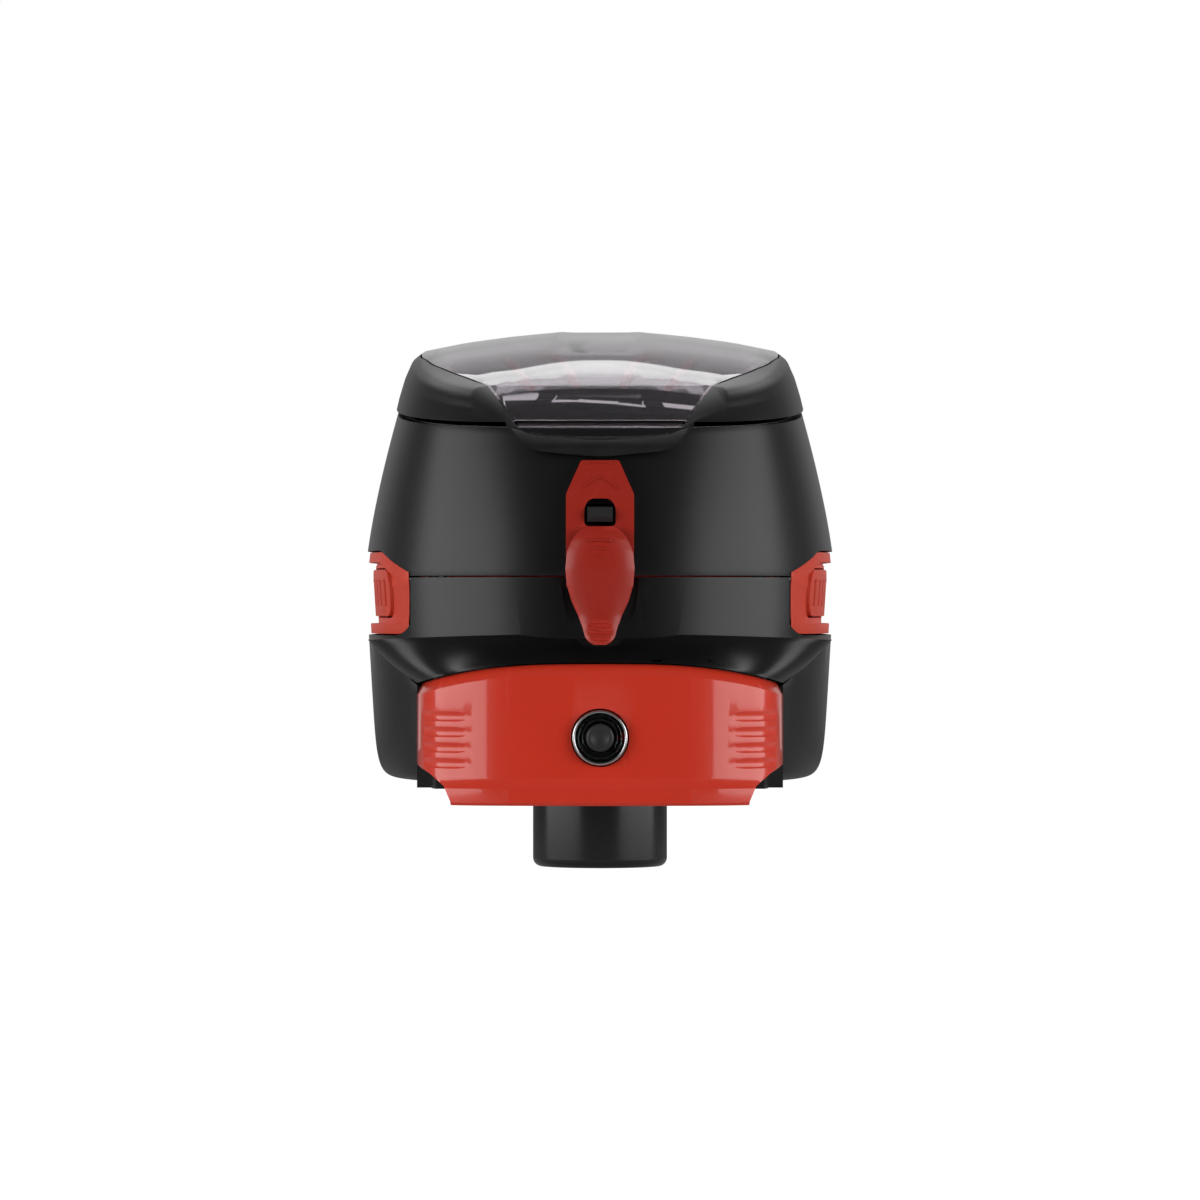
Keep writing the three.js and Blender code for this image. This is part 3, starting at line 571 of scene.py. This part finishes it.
def latchLever():
    # crowned oval paddle that runs down into an upturned thumb tab
    knots = [(42.4, 1.2, -72.4), (42.7, 1.8, -72.3), (43.6, 2.6, -71.9), (45.4, 3.1, -71.0),
             (47.6, 3.9, -70.5), (50.2, 5.1, -70.4), (53, 5.9, -70.6), (56, 6.2, -70.8),
             (59, 5.9, -70.7), (61.4, 4.9, -70.4), (62.8, 3.7, -70.1), (63.5, 2.6, -69.9)]
    rows = 44
    rings = []
    for row in range(rows + 1):
        z = knots[0][0] + (knots[-1][0] - knots[0][0]) * row / rows
        half = curveThrough([(a, b) for a, b, c in knots], z)
        face = curveThrough([(a, c) for a, b, c in knots], z)
        back = max(face + 0.45, -69.7) if z > 46 else face + 1.5
        crown = 0.9 * min(1, half / 5)
        spread = [x / 8 for x in range(-8, 9)]
        front = [(half * x, face - crown * (1 - x ** 2) + 0.25 * x ** 8, z) for x in spread]
        rings.append(front + [(half * 0.94, back, z), (-half * 0.94, back, z)])
    plate = loft("lever", rings)
    ear = [(-69.8, 52), (-69.8, 61.5), (-67.2, 61.5), (-66.4, 60.4), (-66.4, 56.4), (-67.2, 55.3),
           (-69, 55), (-69, 52)]
    for near in (2.1, -3.7):
        plate = add(plate, prism("ear", "x", ear, near, near + 1.6))
    # thumb grooves on the tab
    for i in range(3):
        z = 43.5 + i * 1.2
        plate = cut(plate, prism("groove", "x", circle(0.36, -72.45 + 0.42 * (z - 43.5), z, 20), -2.1, 2.1))
    hole = circle(latch["holeRadius"], latch["pinY"], latch["pinZ"], 32)
    plate = cut(plate, prism("hole", "x", hole, -8, 8))
    return soften(plate, 0.22)


def leverMarks():
    # short raised arcs near the top
    made = []
    for i in range(3):
        half, level, steps = 1.9 - 0.45 * i, 60.9 - 1.5 * i, 10
        rings = []
        for step in range(steps + 1):
            x = -half + 2 * half * step / steps
            z = level + marks["bow"] * (1 - (x / half) ** 2)
            foot = -71.5 + 0.9 * (x / 5.5) ** 2 + 0.2
            face = foot - 0.2 - marks["proud"]
            base = [(x, foot, z - 0.3), (x, foot, z + 0.3)]
            rings.append(base + [(x, face, z + 0.16), (x, face, z - 0.16)])
        made.append(soften(loft("lever_arc_" + str(i + 1), rings), marks["edge"], 2))
    return made


# Turned trim
trim = {"steps": 96, "coilSteps": 24}


def turned(name, profile, axis="z", centre=(0, 0, 0)):
    rings = []
    for i in range(trim["steps"]):
        turn = 2 * pi * i / trim["steps"]
        c, s = cos(turn), sin(turn)
        if axis == "z":
            rings.append([(centre[0] + r * c, centre[1] + r * s, centre[2] + h) for r, h in profile])
        else:
            rings.append([(centre[0] + r * c, centre[1] + h, centre[2] + r * s) for r, h in profile])
    return loft(name, rings, closed=True)


def feedNeck():
    r, bore, top = neck["radius"], neck["bore"], neck["top"]
    lip = [(r - 1.6 + 1.6 * sin(radians(a)), 1.6 - 1.6 * cos(radians(a))) for a in range(0, 91, 10)]
    mouth = [(bore + 0.7 - 0.7 * sin(radians(a)), 0.7 - 0.7 * cos(radians(a))) for a in range(90, -1, -18)]
    collar = [(r, 19.8), (r + 2.4, 19.8), (r + 2.6, 20), (r + 2.6, 21.6), (r + 2.4, 21.8),
              (r - 1, 21.8)]
    profile = lip + collar + [(r - 1, top), (bore, top)] + mouth[:-1]
    return soften(turned("feed_neck_body", profile), 0)


def knob(name, outer, inner, y0, y1, edge):
    # a ring or disc about the button's axis with rounded rear edges
    bends = [radians(a) for a in range(0, 91, 15)]
    arc = [(outer - edge + edge * sin(bend), y0 + edge - edge * cos(bend)) for bend in bends]
    if inner:
        back = [(inner + edge - edge * sin(bend), y0 + edge - edge * cos(bend)) for bend in reversed(bends)]
        profile = arc + [(outer, y1), (inner, y1)] + back
    else:
        dish = [(0.001, y0 + 0.5), (outer * 0.35, y0 + 0.42), (outer * 0.6, y0 + 0.12), (outer - edge, y0)]
        profile = dish + arc[1:] + [(outer, y1), (0.001, y1)]
    return soften(turned(name, profile, "y", (0, 0, button["z"])), 0)


def springCoil(name, centre, radius, wire, length, turns):
    curve = bpy.data.curves.new(name, "CURVE")
    curve.dimensions = "3D"
    spline = curve.splines.new("POLY")
    count = int(turns * trim["coilSteps"])
    spline.points.add(count)
    for i in range(count + 1):
        turn = 2 * pi * i / trim["coilSteps"]
        x = centre[0] - length / 2 + length * i / count
        y = centre[1] + radius * cos(turn)
        z = centre[2] + radius * sin(turn)
        spline.points[i].co = (x * mm, y * mm, z * mm, 1)
    curve.bevel_depth = wire * mm
    curve.bevel_resolution = 4
    curve.use_fill_caps = True
    obj = bpy.data.objects.new(name, curve)
    bpy.context.scene.collection.objects.link(obj)
    return obj


# Rotor: a coned hub and five swept arms that push the balls round
rotorShape = {"arms": 5, "y": 27, "hub": 14, "reach": 35, "sweep": 0.55, "start": 0.35,
              "low": 50.5, "high": 57.5, "steps": 12}


def rotor():
    profile = [(2.6, 47), (15.2, 47), (15.6, 47.3), (16.5, 50), (16.4, 54), (15.8, 58), (13, 62.8),
               (9, 67.4), (5.4, 69.9), (4, 70.5), (2.6, 70.5)]
    hub = turned("rotor_body", profile, "z", (0, rotorShape["y"], 0))
    for arm in range(rotorShape["arms"]):
        front, back = [], []
        for step in range(rotorShape["steps"] + 1):
            t = step / rotorShape["steps"]
            r = rotorShape["hub"] + t * (rotorShape["reach"] - rotorShape["hub"])
            swing = arm / rotorShape["arms"] * 2 * pi + rotorShape["sweep"] * t ** 1.5 + rotorShape["start"]
            half = (2.0 - 0.8 * t) / r
            front.append((r * cos(swing - half), rotorShape["y"] + r * sin(swing - half)))
            back.append((r * cos(swing + half), rotorShape["y"] + r * sin(swing + half)))
        hub = add(hub, prism("arm", "z", front + back[::-1], rotorShape["low"], rotorShape["high"]))
    return soften(hub, 0.5)


print("tools ready")


# Shared shader effects
def group(name, inputs, outputs):
    tree = bpy.data.node_groups.new(name, "ShaderNodeTree")
    for label, kind, value in inputs:
        socket = tree.interface.new_socket(name=label, in_out="INPUT", socket_type=kind)
        socket.default_value = value
    for label, kind in outputs:
        tree.interface.new_socket(name=label, in_out="OUTPUT", socket_type=kind)
    return tree, tree.nodes.new("NodeGroupInput"), tree.nodes.new("NodeGroupOutput")


def math(tree, operation, a, b, clamp=False):
    node = tree.nodes.new("ShaderNodeMath")
    node.operation = operation
    node.use_clamp = clamp
    for socket, value in ((node.inputs[0], a), (node.inputs[1], b)):
        if isinstance(value, (int, float)):
            socket.default_value = value
        else:
            tree.links.new(value, socket)
    return node.outputs[0]


def noise(tree, vector, scale, detail=3, rough=0.5):
    node = tree.nodes.new("ShaderNodeTexNoise")
    node.inputs["Detail"].default_value = detail
    node.inputs["Roughness"].default_value = rough
    tree.links.new(vector, node.inputs["Vector"])
    if isinstance(scale, (int, float)):
        node.inputs["Scale"].default_value = scale
    else:
        tree.links.new(scale, node.inputs["Scale"])
    return node.outputs["Fac"]


def mouldGrain():
    # spark-eroded mould texture with a slow gloss drift over the panel
    tree, inside, outside = group("mouldGrain", [("Grain Size", "NodeSocketFloat", 2600.0),
                                                 ("Base Roughness", "NodeSocketFloat", 0.4),
                                                 ("Drift", "NodeSocketFloat", 0.06)],
                                  [("Height", "NodeSocketFloat"), ("Roughness", "NodeSocketFloat")])
    where = tree.nodes.new("ShaderNodeTexCoord").outputs["Object"]
    fine = noise(tree, where, inside.outputs["Grain Size"], 4, 0.6)
    slow = noise(tree, where, 38.0, 3, 0.5)
    drift = math(tree, "MULTIPLY", math(tree, "SUBTRACT", slow, 0.5), inside.outputs["Drift"])
    speck = math(tree, "MULTIPLY", math(tree, "SUBTRACT", fine, 0.5), 0.06)
    total = math(tree, "ADD", math(tree, "ADD", inside.outputs["Base Roughness"], drift), speck, True)
    tree.links.new(fine, outside.inputs["Height"])
    tree.links.new(total, outside.inputs["Roughness"])
    return tree


def edgeWear():
    # lighter rubbed colour on sharp edges, broken up by noise
    tree, inside, outside = group("edgeWear", [("Color", "NodeSocketColor", (0.1, 0.1, 0.1, 1)),
                                               ("Worn Color", "NodeSocketColor", (0.3, 0.3, 0.3, 1)),
                                               ("Amount", "NodeSocketFloat", 0.5)],
                                  [("Color", "NodeSocketColor"), ("Mask", "NodeSocketFloat")])
    where = tree.nodes.new("ShaderNodeTexCoord").outputs["Object"]
    point = tree.nodes.new("ShaderNodeNewGeometry").outputs["Pointiness"]
    sharp = math(tree, "MULTIPLY", math(tree, "SUBTRACT", point, 0.53), 9.0, True)
    broken = noise(tree, where, 160.0, 5, 0.65)
    patchy = math(tree, "MULTIPLY", math(tree, "SUBTRACT", broken, 0.38), 3.0, True)
    rubbed = math(tree, "MULTIPLY", sharp, patchy)
    mask = math(tree, "MULTIPLY", rubbed, inside.outputs["Amount"], True)
    mix = tree.nodes.new("ShaderNodeMix")
    mix.data_type = "RGBA"
    tree.links.new(mask, mix.inputs["Factor"])
    tree.links.new(inside.outputs["Color"], mix.inputs["A"])
    tree.links.new(inside.outputs["Worn Color"], mix.inputs["B"])
    tree.links.new(mix.outputs["Result"], outside.inputs["Color"])
    tree.links.new(mask, outside.inputs["Mask"])
    return tree


def mottle():
    # slight pigment variation
    tree, inside, outside = group("mottle", [("Color", "NodeSocketColor", (0.5, 0.1, 0.1, 1)),
                                             ("Strength", "NodeSocketFloat", 0.1),
                                             ("Scale", "NodeSocketFloat", 60.0)],
                                  [("Color", "NodeSocketColor")])
    where = tree.nodes.new("ShaderNodeTexCoord").outputs["Object"]
    wave = math(tree, "SUBTRACT", noise(tree, where, inside.outputs["Scale"], 4, 0.55), 0.5)
    shade = math(tree, "ADD", math(tree, "MULTIPLY", wave, inside.outputs["Strength"]), 1.0)
    scale = tree.nodes.new("ShaderNodeVectorMath")
    scale.operation = "SCALE"
    tree.links.new(inside.outputs["Color"], scale.inputs[0])
    tree.links.new(shade, scale.inputs["Scale"])
    tree.links.new(scale.outputs["Vector"], outside.inputs["Color"])
    return tree


effects = {"grain": mouldGrain(), "wear": edgeWear(), "mottle": mottle()}


def place(tree, name, **values):
    node = tree.nodes.new("ShaderNodeGroup")
    node.node_tree = effects[name]
    for label, value in values.items():
        node.inputs[label.replace("_", " ")].default_value = value
    return node


def moulded(name, color, rough, grain=2600.0, bump=0.05, coat=0.0, worn=None, wear=0.4,
            metallic=0.0, drift=0.06, specular=0.5, strength=0.1):
    material = bpy.data.materials.new(name)
    material.use_nodes = True
    tree = material.node_tree
    shader = tree.nodes["Principled BSDF"]
    shader.inputs["Metallic"].default_value = metallic
    shader.inputs["Specular IOR Level"].default_value = specular
    shader.inputs["Coat Weight"].default_value = coat
    shader.inputs["Coat Roughness"].default_value = 0.08
    tint = place(tree, "mottle", Color=(*color, 1), Strength=strength, Scale=60.0)
    edge = worn or [min(1, c * 1.8 + 0.02) for c in color]
    rub = place(tree, "wear", Worn_Color=(*edge, 1), Amount=wear)
    surface = place(tree, "grain", Grain_Size=grain, Base_Roughness=rough, Drift=drift)
    height = tree.nodes.new("ShaderNodeBump")
    height.inputs["Strength"].default_value = bump
    height.inputs["Distance"].default_value = 0.0002
    tree.links.new(tint.outputs["Color"], rub.inputs["Color"])
    tree.links.new(rub.outputs["Color"], shader.inputs["Base Color"])
    tree.links.new(surface.outputs["Roughness"], shader.inputs["Roughness"])
    tree.links.new(surface.outputs["Height"], height.inputs["Height"])
    tree.links.new(height.outputs["Normal"], shader.inputs["Normal"])
    return material


def clear(name, color, rough, ior=1.06):
    material = bpy.data.materials.new(name)
    material.use_nodes = True
    tree = material.node_tree
    shader = tree.nodes["Principled BSDF"]
    shader.inputs["Transmission Weight"].default_value = 1.0
    shader.inputs["IOR"].default_value = ior
    shader.inputs["Coat Weight"].default_value = 1.0
    shader.inputs["Coat Roughness"].default_value = rough
    tint = place(tree, "mottle", Color=(*color, 1), Strength=0.05, Scale=30.0)
    surface = place(tree, "grain", Grain_Size=900.0, Base_Roughness=rough, Drift=0.015)
    tree.links.new(tint.outputs["Color"], shader.inputs["Base Color"])
    tree.links.new(surface.outputs["Roughness"], shader.inputs["Roughness"])
    return material


def brushed(name, color, rough=0.28, stretch=(1, 1, 30)):
    # long fine lines along one axis
    material = moulded(name, color, rough, 1800.0, 0.0, metallic=1.0, wear=0.15, drift=0.12, strength=0.08)
    tree = material.node_tree
    where = tree.nodes.new("ShaderNodeMapping")
    where.inputs["Scale"].default_value = stretch
    tree.links.new(tree.nodes.new("ShaderNodeTexCoord").outputs["Object"], where.inputs["Vector"])
    lines = noise(tree, where.outputs["Vector"], 900.0, 4, 0.6)
    height = next(n for n in tree.nodes if n.type == "BUMP")
    height.inputs["Strength"].default_value = 0.12
    tree.links.new(lines, height.inputs["Height"])
    return material


finishes = {
    "shell": moulded("shellBlack", (0.005, 0.005, 0.0055), 0.36, 2600.0, 0.05,
                     worn=(0.03, 0.03, 0.032), wear=0.3),
    "frame": moulded("frameBlack", (0.006, 0.006, 0.0065), 0.4, 2600.0, 0.05,
                     worn=(0.035, 0.035, 0.035), wear=0.3),
    "panel": moulded("panelRed", (0.70, 0.043, 0.02), 0.3, 1200.0, 0.01, coat=0.9, wear=0.25,
                     drift=0.05, specular=0.3),
    "latch": moulded("latchRed", (0.38, 0.022, 0.011), 0.34, 1800.0, 0.03, wear=0.5),
    "grip": moulded("gripRed", (0.6, 0.05, 0.024), 0.42, 3000.0, 0.10, wear=0.3),
    "inner": moulded("innerBlack", (0.018, 0.018, 0.019), 0.45, 2200.0, 0.08, wear=0.3),
    "neck": moulded("neckGrey", (0.013, 0.013, 0.014), 0.2, 2600.0, 0.03, wear=0.3),
    "rotor": moulded("rotorRed", (0.45, 0.03, 0.017), 0.35, 2200.0, 0.05, wear=0.3),
    "gear": moulded("gearNylon", (0.62, 0.6, 0.52), 0.45, 2400.0, 0.05, wear=0.1),
    "board": moulded("boardGreen", (0.012, 0.09, 0.035), 0.35, 900.0, 0.05, coat=0.4, wear=0.1,
                     strength=0.5),
    "cell": moulded("cellSleeve", (0.035, 0.08, 0.15), 0.25, 1400.0, 0.02, coat=0.5, wear=0.3),
    "led": moulded("lightRed", (0.5, 0.02, 0.012), 0.1, 900.0, 0.0, coat=0.6, wear=0.0),
    "dark": moulded("buttonDark", (0.028, 0.028, 0.03), 0.35, 2600.0, 0.06, wear=0.3),
    "window": clear("smokeClear", (0.42, 0.385, 0.42), 0.05),
    "ring": clear("buttonLens", (0.42, 0.42, 0.44), 0.03),
    "steel": brushed("springSteel", (0.58, 0.58, 0.59)),
    "brass": brushed("turnedBrass", (0.62, 0.43, 0.17)),
    "chrome": brushed("brightRing", (0.8, 0.8, 0.82), 0.1),
}
print("materials ready")


def paint(obj, finish):
    obj.data.materials.clear()
    obj.data.materials.append(finishes[finish])


def install(obj, name, finish, bodyName, slot, *nodes):
    obj.name = name
    paint(obj, finish)
    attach(obj, bodyName)
    if nodes:
        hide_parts(*nodes)
    print("made", name, len(obj.data.polygons) if obj.type == "MESH" else "curve")


install(upperShell(), "upper_shell_fine", "shell", "housing", "shell_black", "upper_shell")
install(lowerShell(), "lower_shell_fine", "shell", "housing", "shell_black", "lower_shell")
install(tailCover(), "tail_cover_fine", "panel", "tail_cover", "panel_red", "tail_cover")
install(lidFrame(), "lid_frame_fine", "frame", "lid", "frame_black", "lid_frame")
install(lidWindow(), "lid_window_fine", "window", "lid", "smoke_clear", "lid_window")
install(latchStrap(), "latch_strap_fine", "latch", "housing", "latch_red", "latch_strap")
for mark in latchMarks():
    install(mark, mark.name, "latch", "housing", "latch_red")
install(latchLever(), "latch_lever_fine", "latch", "latch_lever", "latch_red", "latch_lever")
for mark in leverMarks():
    install(mark, mark.name, "latch", "latch_lever", "latch_red")
for mark in windowRibs():
    install(mark, mark.name, "rotor", "lid", "panel_red")
install(feedNeck(), "feed_neck_fine", "neck", "housing", "neck_grey", "feed_neck")
for side, word in ((-1, "left"), (1, "right")):
    install(gripPlate(side), "side_grip_" + word + "_fine", "grip", "housing", "grip_red",
            "side_grip_" + word)
    install(padButton(side), "side_button_" + word + "_fine", "grip", "side_button_" + word,
            "grip_red", "side_button_" + word)
    seat = (side * 36.1, grip["padMidY"], grip["midZ"])
    spring = springCoil("side_coil_" + word, seat, 1.9, 0.25, 1.5, 3)
    install(spring, spring.name, "steel", "housing", "steel", "side_spring_" + word)
install(springCoil("lid_coil", (0, hinge["y"], hinge["z"]), 2.1, 0.32, 7.2, 9), "lid_coil", "steel",
        "housing", "steel", "lid_spring")
install(rotor(), "rotor_fine", "rotor", "rotor", "panel_red", "rotor")
install(knob("power_bezel_fine", 4.9, 4.4, -76.1, -71.2, 0.25), "power_bezel_fine", "chrome",
        "tail_cover", "chrome", "power_bezel")
install(knob("power_lens_fine", 4.1, 2.8, -75.6, -72.2, 0.5), "power_lens_fine", "ring",
        "tail_cover", "smoke_clear", "power_lens")
install(knob("power_button_fine", 2.5, 0, -76.2, -71.4, 0.5), "power_button_fine", "dark",
        "power_button", "button_dark", "power_button")

# Carried-over pieces keep their shape and take a finish from their slot
slotFinish = {"steel": "steel", "brass": "brass", "gear_white": "gear", "inner_black": "inner",
              "board_green": "board", "cell_wrap": "cell", "led_red": "led", "chrome": "chrome"}
slotOf = {part["node"]: part["material_slot"] for part in frame["record"]["subparts"]}
for name, obj in frame["nodes"].items():
    if slotOf[name] in slotFinish:
        paint(obj, slotFinish[slotOf[name]])
print("pieces placed")

# Pale floor, soft studio light and the camera level behind the button end
studio = {"distance": 1.2, "height": 0.0504, "lens": 189.9, "floor": -0.075, "white": 1.0, "fill": 0.09}
scene = bpy.context.scene
world = bpy.data.worlds.new("studio")
world.use_nodes = True
# white behind the object and through its window, dimmer for what the plastics reflect
sky = world.node_tree
glow = sky.nodes["Background"]
glow.inputs["Color"].default_value = (1, 1, 1, 1)
path = sky.nodes.new("ShaderNodeLightPath")
seen = math(sky, "MAXIMUM", path.outputs["Is Camera Ray"], path.outputs["Is Transmission Ray"])
aim = sky.nodes.new("ShaderNodeSeparateXYZ")
sky.links.new(sky.nodes.new("ShaderNodeTexCoord").outputs["Generated"], aim.inputs[0])
behind = math(sky, "MULTIPLY", math(sky, "SUBTRACT", aim.outputs["Y"], 0.7), 4.0, True)
seen = math(sky, "MAXIMUM", seen, math(sky, "MULTIPLY", behind, 0.4))
level = math(sky, "ADD", math(sky, "MULTIPLY", seen, studio["white"] - studio["fill"]), studio["fill"])
sky.links.new(level, glow.inputs["Strength"])
scene.world = world


def card(name, size, at, turn, color, shine):
    bpy.ops.mesh.primitive_plane_add(size=1, location=at, rotation=turn)
    obj = bpy.context.object
    obj.name = name
    obj.scale = (*size, 1)
    material = bpy.data.materials.new(name)
    material.use_nodes = True
    shader = material.node_tree.nodes["Principled BSDF"]
    shader.inputs["Base Color"].default_value = (*color, 1)
    shader.inputs["Roughness"].default_value = 1.0
    shader.inputs["Emission Color"].default_value = (1, 1, 1, 1)
    # the glow is for the camera only, so that it doesn't light the object
    seen = material.node_tree.nodes.new("ShaderNodeLightPath").outputs["Is Camera Ray"]
    shown = math(material.node_tree, "MULTIPLY", seen, shine)
    material.node_tree.links.new(shown, shader.inputs["Emission Strength"])
    obj.data.materials.append(material)


card("floor", (6, 6), (0, 0, studio["floor"]), (0, 0, 0), (0.35, 0.35, 0.35), 1.0)
card("dark_card", (2.4, 1.6), (0, -2.4, 0.1), (pi / 2, 0, 0), (0.01, 0.01, 0.01), 0)


def softBox(name, at, size, power, mirrored=True):
    light = bpy.data.lights.new(name, "AREA")
    light.shape = "RECTANGLE"
    light.size, light.size_y = size
    light.energy = power
    obj = bpy.data.objects.new(name, light)
    obj.location = at
    obj.rotation_euler = (Vector((0, 0, 0.05)) - Vector(at)).to_track_quat("-Z", "Y").to_euler()
    obj.visible_glossy = mirrored
    scene.collection.objects.link(obj)


softBox("left_box", (-1.09, -0.42, 0.2), (1.7, 0.8), 9.5)
softBox("right_box", (1.09, -0.42, 0.2), (1.7, 0.8), 9.5)
softBox("top_box", (0, 0.75, 1.0), (1.2, 0.7), 6)
softBox("left_fill", (-1.1, -0.7, 0.15), (0.6, 0.6), 5, False)
softBox("right_fill", (1.1, -0.7, 0.15), (0.6, 0.6), 5, False)

camera = bpy.data.objects.new("camera", bpy.data.cameras.new("camera"))
camera.data.lens = studio["lens"]
camera.data.sensor_width = 36
camera.data.clip_start = 0.01
camera.location = (0, -studio["distance"], studio["height"])
camera.rotation_euler = (pi / 2, 0, 0)
scene.collection.objects.link(camera)
scene.camera = camera
scene.view_settings.view_transform = "Standard"
